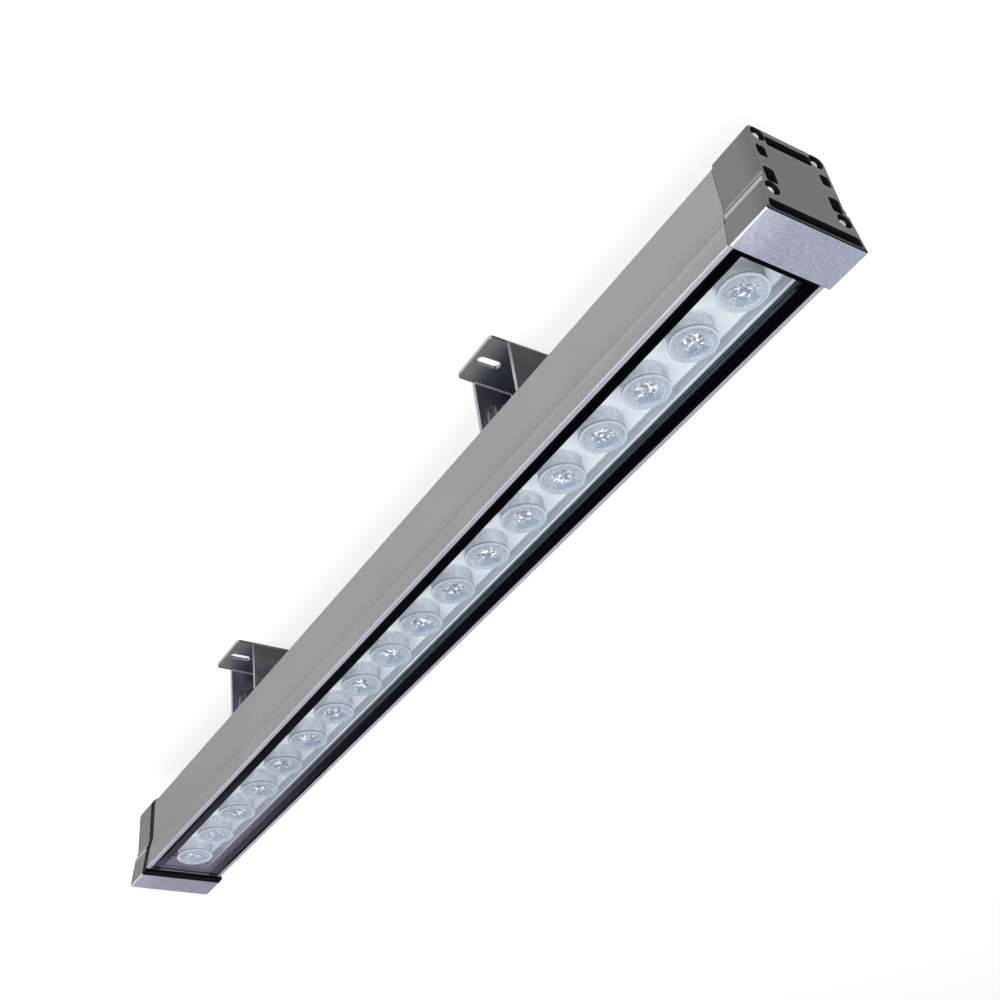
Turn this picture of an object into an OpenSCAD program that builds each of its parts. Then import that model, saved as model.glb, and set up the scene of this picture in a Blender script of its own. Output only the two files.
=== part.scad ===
// Linear outdoor wall washer light on two tilting brackets, window facing up.
// Millimetres. X runs along the light, Z points out of the window, and the
// light stands on the outer faces of its two brackets.

/* [Length] */
// Length over both end caps
lamp_len = 600; // [480:10:1200]
// Length of one end cap along the light
cap_len = 20.7; // [19:0.1:26]
// Thickness of the rubber gasket behind the near end cap
near_gasket_thick = 1.2; // [1:0.1:2]
// Thickness of the rubber gasket behind the far end cap
far_gasket_thick = 2.8; // [2:0.1:3.5]

/* [Section] */
// Depth of an end cap from its window edge to its back
cap_depth = 50; // [49:0.5:56]
// Width of an end cap at its window edge
cap_window_w = 50.6; // [49:0.1:54]
// Width of an end cap at the window end of its flare
cap_flare_w = 45.8; // [44:0.1:48]
// Width of an end cap at the back end of its flare
cap_waist_w = 41.8; // [41:0.1:43.5]
// Width of an end cap at its back
cap_back_w = 39.6; // [39:0.1:41]
// Depth at which the flare meets the window walls
flare_depth = 15; // [14:0.5:16]
// Depth at which the flare meets the back walls
waist_depth = 22; // [21:0.5:24]
// Width of the groove in each side of an end cap, in the middle of its flare
cap_groove_w = 1.6; // [1:0.1:2]
// Depth of that groove
cap_groove_depth = 0.5; // [0.3:0.1:0.6]
// Width of the fine groove along each side of the housing
side_groove_w = 0.8; // [0.6:0.1:1]
// Step from the end cap's sides down to the housing's sides
side_step = 0.6; // [0.5:0.1:0.9]
// Step from the end cap's back down to the housing's back
cap_proud = 1; // [0.6:0.1:1.4]
// Step from the end cap's window edge down to the glass and the housing lips
window_recess = 2.2; // [1.6:0.1:2.6]
// Step from the near end cap down to its gasket, at the sides and the back
near_gasket_step = 1; // [0.9:0.1:1.4]
// Step from the near end cap's window edge down to its gasket
near_gasket_recess = 2.4; // [2.2:0.1:2.8]
// Step from the far end cap down to its gasket
far_gasket_step = 0.2; // [0.1:0.1:0.5]

/* [Housing] */
// Side wall of the extruded housing
housing_wall = 2; // [1.6:0.1:2.2]
// Back wall of the extruded housing
back_wall = 2.2; // [2:0.1:2.8]
// Width of each lip beside the glass
lip_w = 2.6; // [2.2:0.1:2.8]
// Thickness of the ledge under the glass
ledge_thick = 1.8; // [1.4:0.1:1.9]
// Width of the opening between the two ledges
ledge_gap_w = 35; // [33:0.5:36]
// Depth of the top of the two inner screw rails
rail_depth = 10; // [9.8:0.1:10.5]
// Width of the channel between the two inner screw rails
rail_gap_w = 31.4; // [31.2:0.2:31.8]
// Depth of the floor that carries the light board
floor_depth = 17.7; // [17.3:0.1:18]
// Thickness of that floor
floor_thick = 2; // [1.6:0.1:2.4]

/* [Bracket channel] */
// Width of the slot in the housing's back
slot_w = 6.4; // [6.2:0.1:6.8]
// Thickness of the lips beside the slot
slot_lip = 2; // [1.8:0.1:2.4]
// Width of the channel behind the slot
channel_w = 10.3; // [10.2:0.1:11]
// Height of the channel behind the slot
channel_h = 4.8; // [4.4:0.1:5.2]
// Wall round the channel
channel_wall = 1.6; // [1.4:0.1:2]

/* [Window] */
// Width of the glass
glass_w = 40; // [39:0.5:41]
// Thickness of the glass
glass_thick = 3; // [2.6:0.1:3.2]
// Thickness of the black bed under the glass
bed_thick = 0.4; // [0.3:0.1:0.6]
// Width of the clear window inside the black border
clear_w = 31.4; // [29:0.2:32]
// Black bead past each end of the glass
end_bead = 1.5; // [1:0.1:2]
// Black border on each end of the glass
end_border = 1.4; // [0.5:0.1:3]

/* [Light board] */
// Distance from one lens to the next
lens_pitch = 30.6; // [26:0.2:40]
// Diameter of a lens over its rim
lens_d = 21; // [18:0.5:22]
// Depth of the lens faces below the end cap's window edge
lens_depth = 7; // [6.9:0.1:7.4]
// Thickness of a lens rim
lens_rim = 1.2; // [1:0.1:1.6]
// Distance from the light board to the nearer end of the housing
board_margin = 5.5; // [2:0.5:6]
// Width of the light board
board_w = 30.8; // [28.8:0.5:30.8]
// Thickness of the light board
board_thick = 1.6; // [1.2:0.1:1.8]
// Thickness of the heat pad under the light board
pad_thick = 0.5; // [0.3:0.1:0.6]
// Outer diameter of a lens holder
holder_d = 20; // [17:0.5:21]
// Wall of a lens holder
holder_wall = 1.2; // [1:0.1:1.6]

/* [Driver] */
// Length of the driver
driver_len = 150; // [100:5:220]
// Width of the driver
driver_w = 28; // [24:0.5:30]
// Room over the driver
driver_gap = 2; // [1.5:0.1:5]
// Distance from the middle of the light to the middle of the driver
driver_shift = 40; // [0:5:60]

/* [Cap screws] */
// Distance between the two back screws
back_screw_gap = 30; // [29:0.5:31]
// Distance from the back screws to the end cap's back
back_screw_inset = 4; // [3.8:0.1:4.5]
// Distance between the two window screws
rail_screw_gap = 36; // [35.4:0.1:36.4]
// Depth of the window screws
rail_screw_depth = 14; // [13.8:0.1:14.4]
// Diameter of a cap screw
cap_screw_d = 3; // [2.9:0.1:3.1]
// Diameter of a cap screw's head
cap_head_d = 5.6; // [5.2:0.1:5.8]
// Height of a cap screw's head
cap_head_h = 2.1; // [1.8:0.1:2.4]
// How far a cap screw reaches into the housing
cap_screw_grip = 10; // [8:1:20]

/* [Brackets] */
// Distance from the middle of the light to the near bracket
near_bracket_x = 116; // [90:2:160]
// Distance from the middle of the light to the far bracket
far_bracket_x = 164; // [90:2:180]
// Outer width of a bracket's yoke along the light
yoke_w = 33; // [32:0.5:40]
// Width of a yoke's legs across the light
leg_w = 21; // [20:0.5:22]
// Length of a yoke's base across the light
base_len = 40; // [39:0.5:41]
// Width of the base outside the legs
base_tab_w = 30; // [29:0.5:31]
// Thickness of the yoke's sheet
yoke_thick = 2; // [1.8:0.1:2.4]
// Height of the tilt axis over the base
pivot_h = 22.5; // [22:0.5:26]
// Distance from the tilt axis to the housing's back
pivot_drop = 19; // [18:0.5:24]
// Distance from the tilt axis to the legs' ends
leg_past = 10.5; // [9:0.5:11]
// Width of a mounting slot
mount_slot_w = 5; // [4.5:0.1:6]
// Length of a mounting slot from end to end
mount_slot_len = 12.6; // [11:0.2:13]
// Distance between the centres of a yoke's two slots
mount_slot_gap = 23; // [21:0.5:24]
// Thickness of the foot's sheet
foot_thick = 1.5; // [1.2:0.1:2]
// Width of the foot's plate across the light
foot_plate_w = 20; // [16:0.5:24]
// Width of the foot's ears across the light
ear_w = 13; // [12.6:0.1:14]
// Diameter of the tilt bolts and of the clamp bolt
bolt_d = 6; // [5.8:0.1:6.1]

/* [Cable gland] */
// Reach of the cable gland past the far end cap
gland_reach = 16; // [13.5:0.5:24]
// Diameter of the gland's thread
gland_thread_d = 12; // [11:0.5:13]
// Distance across the flats of the gland
gland_flats = 15; // [14:0.5:18]
// Diameter of the cord that the gland takes
cord_d = 6.5; // [5:0.5:7]

/* [Hidden] */
$fn = 48;
overrun = 1;
corner_steps = 6;

anodised = [0.60, 0.60, 0.59];
cast_metal = [0.52, 0.52, 0.50];
steel = [0.72, 0.72, 0.72];
polished = [0.45, 0.46, 0.48];
passivated = [0.68, 0.64, 0.45];
black = [0.03, 0.03, 0.04];
clear = [0.85, 0.92, 0.92, 0.35];
white = [0.93, 0.94, 0.94];

back_h = pivot_h + pivot_drop;
window_h = back_h + cap_depth - cap_proud;
near_face = lamp_len / 2 - cap_len - near_gasket_thick;
far_face = lamp_len / 2 - cap_len - far_gasket_thick;
housing_len = near_face + far_face;
lamp_shift = gland_reach / 2;

window_edge_r = 0.6;
flare_r = 2.5;
waist_r = 2.5;
back_corner_r = 3.5;
section_radii = [window_edge_r, flare_r, waist_r, back_corner_r];

groove_drop = (flare_depth + waist_depth) / 2;
lip_gap_w = 2 * (side_half(window_recess) - side_step - lip_w);
glass_top = window_h - window_recess;
glass_bottom = glass_top - glass_thick;
ledge_top = glass_bottom - bed_thick;
ledge_bottom = ledge_top - ledge_thick;
rail_top = window_h - rail_depth;
floor_top = window_h - floor_depth;
floor_bottom = floor_top - floor_thick;
undercut_inset = 0.9;
room_corner_r = 0.6;
channel_top = back_h + slot_lip + channel_h;
channel_roof = channel_top + channel_wall;
driver_h = floor_bottom - channel_roof - driver_gap;
screw_bite = 0.2;
port_r = cap_screw_d / 2 - screw_bite;
port_boss_r = 3;
lead_hole_r = 3;
glass_len = housing_len - 2 * end_bead;
board_len = 2 * (min(near_face, far_face) - board_margin);
pad_top = floor_top + pad_thick;
board_top = pad_top + board_thick;
lens_top = window_h - lens_depth;
rim_bottom = lens_top - lens_rim;
lens_count = floor((board_len - lens_d) / lens_pitch) + 1;

// Half the end cap's width at a depth below its window edge
function side_half(depth) = lookup(depth, [
    [0, cap_window_w / 2],
    [flare_depth, cap_flare_w / 2],
    [waist_depth, cap_waist_w / 2],
    [cap_depth, cap_back_w / 2]]);

function unit(v) = v / norm(v);

// Points of one rounded corner, in short straight steps
function corner_arc(before, corner, after, radius) =
    let (
        to_before = unit(before - corner),
        to_after = unit(after - corner),
        half = acos(to_before * to_after) / 2,
        centre = corner + unit(to_before + to_after) * radius / sin(half),
        first = corner + to_before * radius / tan(half) - centre,
        last = corner + to_after * radius / tan(half) - centre,
        start = atan2(first.y, first.x),
        sweep = atan2(last.y, last.x) - start,
        turn = sweep > 180 ? sweep - 360 : sweep < -180 ? sweep + 360 : sweep)
    [for (i = [0 : corner_steps]) let (a = start + turn * i / corner_steps)
        centre + radius * [cos(a), sin(a)]];

// An outline with its corners rounded by the radii in the same order
function rounded(points, radii) =
    let (n = len(points))
    [for (i = [0 : n - 1]) each (radii[i] == 0 ? [points[i]]
        : corner_arc(points[(i + n - 1) % n], points[i], points[(i + 1) % n], radii[i]))];

// The cross section between two depths, drawn in by an inset, as points [y, z]
function section_points(inset, top, bottom, radii) =
    let (
        right = [for (d = [top, flare_depth, waist_depth, bottom]) [side_half(d) - inset, window_h - d]],
        left = [for (i = [3 : -1 : 0]) [-right[i].x, right[i].y]])
    rounded(concat(right, left), concat(radii, [for (i = [3 : -1 : 0]) radii[i]]));

// A rectangle with rounded corners, centred on a point [y, z]
function rounded_box(centre, size, radius) =
    let (w = size.x / 2, h = size.y / 2)
    rounded([for (s = [[1, 1], [-1, 1], [-1, -1], [1, -1]]) centre + [s.x * w, s.y * h]],
        [radius, radius, radius, radius]);

module lamp() translate([lamp_shift, 0, 0]) children();

// A cross section [y, z] drawn along X from a start
module along_x(start, length)
    translate([start, 0, 0]) rotate([90, 0, 90]) linear_extrude(length) children();

// A profile [x, z] drawn across Y, centred
module across_y(width)
    translate([0, width / 2, 0]) rotate([90, 0, 0]) linear_extrude(width) children();

// A disc or a rod along +X from a point
module rod_x(start, length, radius, faces = $fn)
    translate(start) rotate([0, 90, 0]) cylinder(h = length, r = radius, $fn = faces);

// Children at the middle of the flare on both sides, an inset inside the end cap's outline
module at_grooves(inset) for (side = [-1, 1])
    translate([side * (side_half(groove_drop) - inset), window_h - groove_drop]) children();

screw_places = [
    [back_screw_gap / 2, window_h - cap_depth + back_screw_inset],
    [-back_screw_gap / 2, window_h - cap_depth + back_screw_inset],
    [rail_screw_gap / 2, window_h - rail_screw_depth],
    [-rail_screw_gap / 2, window_h - rail_screw_depth]];

/* Housing */
// Outline of the room for the driver, between the floor and the back wall
function driver_room() =
    let (
        depths = [window_h - floor_bottom, waist_depth, cap_depth - cap_proud - back_wall],
        right = [for (d = depths) [side_half(d) - side_step - housing_wall, window_h - d]],
        left = [for (i = [2 : -1 : 0]) [-right[i].x, right[i].y]],
        radii = [room_corner_r, waist_r, room_corner_r])
    rounded(concat(right, left), concat(radii, [for (i = [2 : -1 : 0]) radii[i]]));

module housing_section() {
    difference() {
        polygon(section_points(side_step, window_recess, cap_depth - cap_proud, section_radii));
        // Seat of the glass between the lips
        translate([-lip_gap_w / 2, ledge_top])
            square([lip_gap_w, glass_top - ledge_top + overrun]);
        // Gap between the ledges
        translate([-ledge_gap_w / 2, ledge_bottom - overrun])
            square([ledge_gap_w, ledge_thick + 2 * overrun]);
        // Undercut between the ledges and the screw rails
        translate([-lip_gap_w / 2 + undercut_inset, rail_top])
            square([lip_gap_w - 2 * undercut_inset, ledge_bottom - rail_top]);
        // Channel of the light board
        translate([-rail_gap_w / 2, floor_top])
            square([rail_gap_w, rail_top - floor_top + overrun]);
        // Room of the driver
        difference() {
            polygon(driver_room());
            translate([-channel_w / 2 - channel_wall, back_h])
                square([channel_w + 2 * channel_wall, channel_roof - back_h]);
            for (p = [screw_places[0], screw_places[1]]) translate(p) circle(r = port_boss_r);
        }
        // Fine groove along each side
        at_grooves(side_step) rotate(45) square(side_groove_w / sqrt(2), center = true);
        // Slot and channel for the brackets
        translate([-slot_w / 2, back_h - overrun]) square([slot_w, slot_lip + 2 * overrun]);
        translate([-channel_w / 2, back_h + slot_lip]) square([channel_w, channel_h]);
        for (p = screw_places) translate(p) circle(r = port_r);
    }
}

driver_end_room = 12;
lead_x = driver_shift + driver_len / 2 + driver_end_room;

module housing() color(anodised) lamp() difference() {
    along_x(-far_face, housing_len) housing_section();
    translate([lead_x, 0, floor_bottom - overrun])
        cylinder(h = floor_thick + 2 * overrun, r = lead_hole_r);
}

/* Window */
module glass() color(clear) lamp()
    translate([end_bead - far_face, -glass_w / 2, glass_bottom])
        cube([glass_len, glass_w, glass_thick]);

module glass_seal() color(black) lamp() difference() {
    translate([-far_face, -lip_gap_w / 2, ledge_top])
        cube([housing_len, lip_gap_w, glass_top - ledge_top]);
    translate([end_bead - far_face, -glass_w / 2, glass_bottom])
        cube([glass_len, glass_w, glass_thick + overrun]);
    translate([end_bead + end_border - far_face, -clear_w / 2, ledge_top - overrun])
        cube([glass_len - 2 * end_border, clear_w, bed_thick + 2 * overrun]);
}

/* Light board */
module light_board() color(white) lamp()
    translate([-board_len / 2, -board_w / 2, pad_top]) cube([board_len, board_w, board_thick]);

module heat_pad() color([0.55, 0.60, 0.66]) lamp() difference() {
    translate([-board_len / 2, -board_w / 2, floor_top]) cube([board_len, board_w, pad_thick]);
    translate([lead_x, 0, floor_top - overrun])
        cylinder(h = pad_thick + 2 * overrun, r = lead_hole_r);
}

module each_lens() lamp() for (i = [0 : lens_count - 1])
    translate([(i - (lens_count - 1) / 2) * lens_pitch, 0, 0]) children();

emitter_base_r = 2.4;
emitter_base_h = 0.8;
emitter_dome_r = 1.5;

module emitters() color([0.95, 0.93, 0.75]) each_lens() translate([0, 0, board_top]) {
    cylinder(h = emitter_base_h, r = emitter_base_r);
    translate([0, 0, emitter_base_h]) rotate_extrude() intersection() {
        circle(r = emitter_dome_r);
        square([emitter_dome_r, emitter_dome_r]);
    }
}

module lens_holders() color(white) each_lens() translate([0, 0, board_top]) difference() {
    cylinder(h = rim_bottom - board_top, r = holder_d / 2);
    translate([0, 0, -overrun])
        cylinder(h = rim_bottom - board_top + 2 * overrun, r = holder_d / 2 - holder_wall);
}

lens_gap = 0.3;
lens_foot_r = 4.4;
lens_foot_gap = 0.6;
lens_well_r = 2.9;
lens_well_roof = 0.9;
lens_well_peak = 0.45;
lens_dish_r = 5.2;
lens_dish_depth = 0.6;

module lenses() color(clear) each_lens() rotate_extrude() polygon([
    [0, lens_top - lens_dish_depth],
    [lens_dish_r, lens_top - lens_dish_depth],
    [lens_dish_r + lens_dish_depth, lens_top],
    [lens_d / 2, lens_top],
    [lens_d / 2, rim_bottom],
    [holder_d / 2 - holder_wall - lens_gap, rim_bottom],
    [lens_foot_r, board_top + lens_foot_gap],
    [lens_well_r, board_top + lens_foot_gap],
    [lens_well_r, rim_bottom - lens_well_roof],
    [0, rim_bottom - lens_well_peak]]);

/* Driver */
driver_edge_r = 1.5;

module driver() color([0.80, 0.81, 0.82]) lamp()
    along_x(driver_shift - driver_len / 2, driver_len)
        polygon(rounded_box([0, channel_roof + driver_h / 2], [driver_w, driver_h], driver_edge_r));

lead_r = 0.8;
lead_gap = 2.6;
lead_bend_r = 4;
lead_h = driver_h / 2;

module board_leads() color([0.75, 0.08, 0.06]) lamp() for (side = [-1, 1])
    translate([lead_x, side * lead_gap / 2, channel_roof + lead_h]) {
        rod_x([-driver_end_room, 0, 0], driver_end_room - lead_bend_r, lead_r);
        translate([-lead_bend_r, 0, lead_bend_r]) rotate([90, 0, 0]) rotate_extrude(angle = -90)
            translate([lead_bend_r, 0]) circle(r = lead_r);
        translate([0, 0, lead_bend_r])
            cylinder(h = pad_top - channel_roof - lead_h - lead_bend_r, r = lead_r);
    }

/* End caps */
pocket_depth = 7;
pocket_r = 1;
cap_web = 2.5;
cap_skirt = 2.4;
cap_boss_r = 3.4;
screw_room = 0.2;
screw_hole_r = cap_screw_d / 2 + screw_room;
sink_gap = 0.5;
sink_depth = 2.6;
back_pocket = [22.6, 4.8];
back_pocket_inset = 5.8;
upper_pocket = [4.2, 5.6];
upper_pocket_y = 16.2;
upper_pocket_inset = 14.4;
lower_pocket = [5, 7.6];
lower_pocket_y = 16.4;
lower_pocket_depth = 21.8;
window_pocket_top = 1.9;
window_pocket_bottom = 6.4;
window_pocket_wall = 2;

module window_pocket_outline() {
    top_half = side_half(window_pocket_top) - window_pocket_wall;
    bottom_half = side_half(window_pocket_bottom) - window_pocket_wall;
    polygon(rounded([
        [top_half, window_h - window_pocket_top],
        [-top_half, window_h - window_pocket_top],
        [-bottom_half, window_h - window_pocket_bottom],
        [bottom_half, window_h - window_pocket_bottom]],
        [pocket_r, pocket_r, pocket_r, pocket_r]));
}

module cap_pockets() {
    polygon(rounded_box([0, window_h - cap_depth + back_pocket_inset], back_pocket, pocket_r));
    upper_z = window_h - cap_depth + upper_pocket_inset;
    lower_z = window_h - lower_pocket_depth;
    for (side = [-1, 1]) {
        polygon(rounded_box([side * upper_pocket_y, upper_z], upper_pocket, pocket_r));
        polygon(rounded_box([side * lower_pocket_y, lower_z], lower_pocket, pocket_r));
    }
    window_pocket_outline();
}

// One end cap with its outer face at X = 0 and its body towards -X
module end_cap() difference() {
    along_x(-cap_len, cap_len) polygon(section_points(0, 0, cap_depth, section_radii));
    along_x(-pocket_depth, pocket_depth + overrun) cap_pockets();
    along_x(-cap_len - overrun, cap_len + 2 * overrun)
        at_grooves(0) square([2 * cap_groove_depth, cap_groove_w], center = true);
    // Hollow towards the housing, round the four screw bosses
    difference() {
        along_x(-cap_len - overrun, cap_len - pocket_depth - cap_web + overrun)
            polygon(section_points(cap_skirt, cap_skirt, cap_depth - cap_skirt, section_radii));
        for (p = screw_places) rod_x([-cap_len - overrun, p.x, p.y], cap_len, cap_boss_r);
    }
    for (p = screw_places) {
        rod_x([-cap_len - overrun, p.x, p.y], cap_len + 2 * overrun, screw_hole_r);
        rod_x([-sink_depth, p.x, p.y], sink_depth + overrun, cap_head_d / 2 + sink_gap);
    }
}

module at_near_end() lamp() translate([lamp_len / 2, 0, 0]) children();
module at_far_end() lamp() translate([-lamp_len / 2, 0, 0]) mirror([1, 0, 0]) children();

gland_h = window_h - cap_depth / 2;
gland_hole_gap = 0.1;

module cap_near() color(cast_metal) at_near_end() end_cap();
module cap_far() color(cast_metal) at_far_end() difference() {
    end_cap();
    rod_x([-cap_len, 0, gland_h], cap_len + overrun, gland_thread_d / 2 + gland_hole_gap);
}

/* Gaskets */
gasket_window_w = 22;
gasket_window_h = 22;
gasket_window_r = 3;

module gasket(thick, step, recess) difference() {
    along_x(-cap_len - thick, thick)
        polygon(section_points(step, recess, cap_depth - step, section_radii));
    along_x(-cap_len - thick - overrun, thick + 2 * overrun)
        polygon(rounded_box([0, gland_h], [gasket_window_w, gasket_window_h], gasket_window_r));
    for (p = screw_places)
        rod_x([-cap_len - thick - overrun, p.x, p.y], thick + 2 * overrun, screw_hole_r);
}

module gasket_near() color(black) at_near_end()
    gasket(near_gasket_thick, near_gasket_step, near_gasket_recess);
module gasket_far() color(black) at_far_end()
    gasket(far_gasket_thick, far_gasket_step, far_gasket_step);

/* Cap screws */
thread_gap = 0.05;

module cap_screws(thick) for (p = screw_places) translate([-sink_depth, p.x, p.y]) rotate([0, 90, 0]) {
    cap_screw_len = cap_len - sink_depth + thick + cap_screw_grip;
    dome_r = (pow(cap_head_d / 2, 2) + pow(cap_head_h, 2)) / (2 * cap_head_h);
    rotate_extrude() intersection() {
        translate([0, cap_head_h - dome_r]) circle(r = dome_r);
        square([cap_head_d / 2, cap_head_h]);
    }
    translate([0, 0, -cap_screw_len]) cylinder(h = cap_screw_len, r = port_r - thread_gap);
}

module cap_screws_near() color(steel) at_near_end() cap_screws(near_gasket_thick);
module cap_screws_far() color(steel) at_far_end() cap_screws(far_gasket_thick);

/* Cable gland */
gland_flange = 3.5;
gland_nut_gap = 0.2;
gland_wall = 1.6;
gland_inside = 4;
gland_dome_r = 2.5;

module gland_body() color(steel) at_far_end() difference() {
    union() {
        rod_x([-pocket_depth - cap_web - gland_inside, 0, gland_h],
            pocket_depth + cap_web + gland_inside + overrun, gland_thread_d / 2);
        rod_x([0, 0, gland_h], gland_flange, gland_flats / 2 / cos(30), 6);
        rod_x([0, 0, gland_h], gland_reach - gland_dome_r, gland_thread_d / 2);
    }
    rod_x([-cap_len, 0, gland_h], cap_len + gland_reach, gland_thread_d / 2 - gland_wall);
}

module gland_seal() color(black) at_far_end() difference() {
    rod_x([gland_flange, 0, gland_h], gland_reach - gland_flange - gland_dome_r,
        gland_thread_d / 2 - gland_wall);
    rod_x([gland_flange - overrun, 0, gland_h], gland_reach, cord_d / 2);
}

module gland_nut() color(steel) at_far_end() difference() {
    intersection() {
        rod_x([gland_flange + gland_nut_gap, 0, gland_h],
            gland_reach - gland_flange - gland_nut_gap, gland_flats / 2 / cos(30), 6);
        translate([gland_reach, 0, gland_h]) rotate([0, -90, 0]) rotate_extrude() polygon([
            [0, 0],
            [gland_flats / 2 - gland_dome_r / 2, 0],
            [gland_flats / 2 / cos(30), gland_dome_r],
            [gland_flats / 2 / cos(30), gland_reach],
            [0, gland_reach]]);
    }
    rod_x([gland_flange, 0, gland_h], gland_reach - gland_flange - gland_dome_r,
        gland_thread_d / 2 + gland_hole_gap);
    rod_x([gland_flange, 0, gland_h], gland_reach, cord_d / 2);
}

/* Brackets */
bend_r = 3;
tab_corner_r = 2;
leg_corner_r = 2;
running_gap = 0.06;
foot_side_gap = 0.1;
foot_top_gap = 0.1;
foot_shoulder_r = 3;
foot_corner_r = 1;
foot_w = yoke_w - 2 * (yoke_thick + foot_side_gap);
foot_top = back_h - foot_top_gap;
foot_bottom = foot_top - foot_thick;
sink_head_r = 5.4;
washer_r = 6;
washer_thick = 1;
nut_flats = 10;
clamp_nut_h = 5;
tilt_nut_h = 3.2;
bolt_end = 1;
clamp_head_h = 4;
clamp_head_gap = 0.1;

module at_near_bracket() lamp() translate([near_bracket_x, 0, 0]) children();
module at_far_bracket() lamp() translate([-far_bracket_x, 0, 0]) children();

// A U of bent sheet as an [x, z] profile, its web at a height and its legs to another
module bent_u(width, thick, web_z, leg_z) {
    up = leg_z > web_z ? 1 : -1;
    inner = width / 2 - thick;
    polygon(rounded([
        [-width / 2, web_z], [width / 2, web_z], [width / 2, leg_z], [inner, leg_z],
        [inner, web_z + up * thick], [-inner, web_z + up * thick], [-inner, leg_z], [-width / 2, leg_z]],
        [bend_r, bend_r, 0, 0, bend_r - thick, bend_r - thick, 0, 0]));
}

module mount_slots() for (side = [-1, 1]) translate([0, side * mount_slot_gap / 2, 0]) {
    straight = mount_slot_len - mount_slot_w;
    translate([-mount_slot_w / 2, -straight / 2, -overrun])
        cube([mount_slot_w, straight, yoke_thick + 2 * overrun]);
    for (end = [-1, 1]) translate([0, end * straight / 2, -overrun])
        cylinder(h = yoke_thick + 2 * overrun, r = mount_slot_w / 2);
}

module yoke() difference() {
    union() {
        intersection() {
            across_y(leg_w) bent_u(yoke_w, yoke_thick, 0, pivot_h + leg_past);
            along_x(-yoke_w / 2, yoke_w) polygon(rounded([
                [leg_w / 2, 0], [leg_w / 2, pivot_h + leg_past],
                [-leg_w / 2, pivot_h + leg_past], [-leg_w / 2, 0]],
                [0, leg_corner_r, leg_corner_r, 0]));
        }
        linear_extrude(yoke_thick) polygon(rounded_box([0, 0], [base_tab_w, base_len], tab_corner_r));
    }
    mount_slots();
    rod_x([-yoke_w, 0, pivot_h], 2 * yoke_w, bolt_d / 2 + running_gap);
    for (side = [0, 1]) mirror([side, 0, 0]) sunk_head(running_gap);
}

// The cone of a sunk bolt head in the outer face of a leg
module sunk_head(gap) translate([yoke_w / 2, 0, pivot_h]) rotate([0, -90, 0])
    cylinder(h = yoke_thick, r1 = sink_head_r + gap, r2 = bolt_d / 2 + gap);

module foot() difference() {
    intersection() {
        across_y(foot_plate_w) bent_u(foot_w, foot_thick, foot_top, pivot_h - ear_w / 2);
        along_x(-foot_w / 2, foot_w) union() {
            translate([0, pivot_h]) circle(r = ear_w / 2);
            polygon(rounded([
                [ear_w / 2, pivot_h], [ear_w / 2, foot_bottom - foot_shoulder_r],
                [foot_plate_w / 2, foot_bottom - foot_shoulder_r],
                [foot_plate_w / 2, foot_top], [-foot_plate_w / 2, foot_top],
                [-foot_plate_w / 2, foot_bottom - foot_shoulder_r],
                [-ear_w / 2, foot_bottom - foot_shoulder_r], [-ear_w / 2, pivot_h]],
                [0, foot_corner_r, foot_corner_r, 0, 0, foot_corner_r, foot_corner_r, 0]));
        }
    }
    rod_x([-foot_w, 0, pivot_h], 2 * foot_w, bolt_d / 2 + running_gap);
    translate([0, 0, foot_bottom - overrun])
        cylinder(h = foot_thick + 2 * overrun, r = bolt_d / 2 + running_gap);
}

ear_inside = foot_w / 2 - foot_thick;

module each_ear() for (side = [0, 1]) mirror([side, 0, 0]) children();

module tilt_bolts() each_ear() {
    inner_end = ear_inside - washer_thick - tilt_nut_h - bolt_end;
    sunk_head(0);
    rod_x([inner_end, 0, pivot_h], yoke_w / 2 - inner_end, bolt_d / 2);
}

module tilt_washers() each_ear() difference() {
    rod_x([ear_inside - washer_thick, 0, pivot_h], washer_thick, washer_r);
    rod_x([ear_inside - 2 * washer_thick, 0, pivot_h], 3 * washer_thick, bolt_d / 2 + running_gap);
}

module tilt_nuts() each_ear() difference() {
    rod_x([ear_inside - washer_thick - tilt_nut_h, 0, pivot_h], tilt_nut_h, nut_flats / 2 / cos(30), 6);
    rod_x([ear_inside - washer_thick - 2 * tilt_nut_h, 0, pivot_h], 3 * tilt_nut_h,
        bolt_d / 2 + thread_gap);
}

module clamp_bolt() {
    head_z = back_h + slot_lip + clamp_head_gap;
    end_z = foot_bottom - washer_thick - clamp_nut_h - bolt_end;
    translate([0, 0, head_z]) cylinder(h = clamp_head_h, r = nut_flats / 2 / cos(30), $fn = 6);
    translate([0, 0, end_z]) cylinder(h = head_z - end_z, r = bolt_d / 2);
}

module clamp_washer() difference() {
    translate([0, 0, foot_bottom - washer_thick]) cylinder(h = washer_thick, r = washer_r);
    translate([0, 0, foot_bottom - 2 * washer_thick])
        cylinder(h = 3 * washer_thick, r = bolt_d / 2 + running_gap);
}

module clamp_nut() difference() {
    translate([0, 0, foot_bottom - washer_thick - clamp_nut_h])
        cylinder(h = clamp_nut_h, r = nut_flats / 2 / cos(30), $fn = 6);
    translate([0, 0, foot_bottom - washer_thick - 2 * clamp_nut_h])
        cylinder(h = 3 * clamp_nut_h, r = bolt_d / 2 + thread_gap);
}

module foot_near() color(polished) at_near_bracket() foot();
module clamp_bolt_near() color(steel) at_near_bracket() clamp_bolt();
module clamp_washer_near() color(steel) at_near_bracket() clamp_washer();
module clamp_nut_near() color(steel) at_near_bracket() clamp_nut();
module tilt_bolts_near() color(steel) at_near_bracket() tilt_bolts();
module tilt_washers_near() color(passivated) at_near_bracket() tilt_washers();
module tilt_nuts_near() color(passivated) at_near_bracket() tilt_nuts();
module yoke_near() color(polished) at_near_bracket() yoke();

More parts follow.
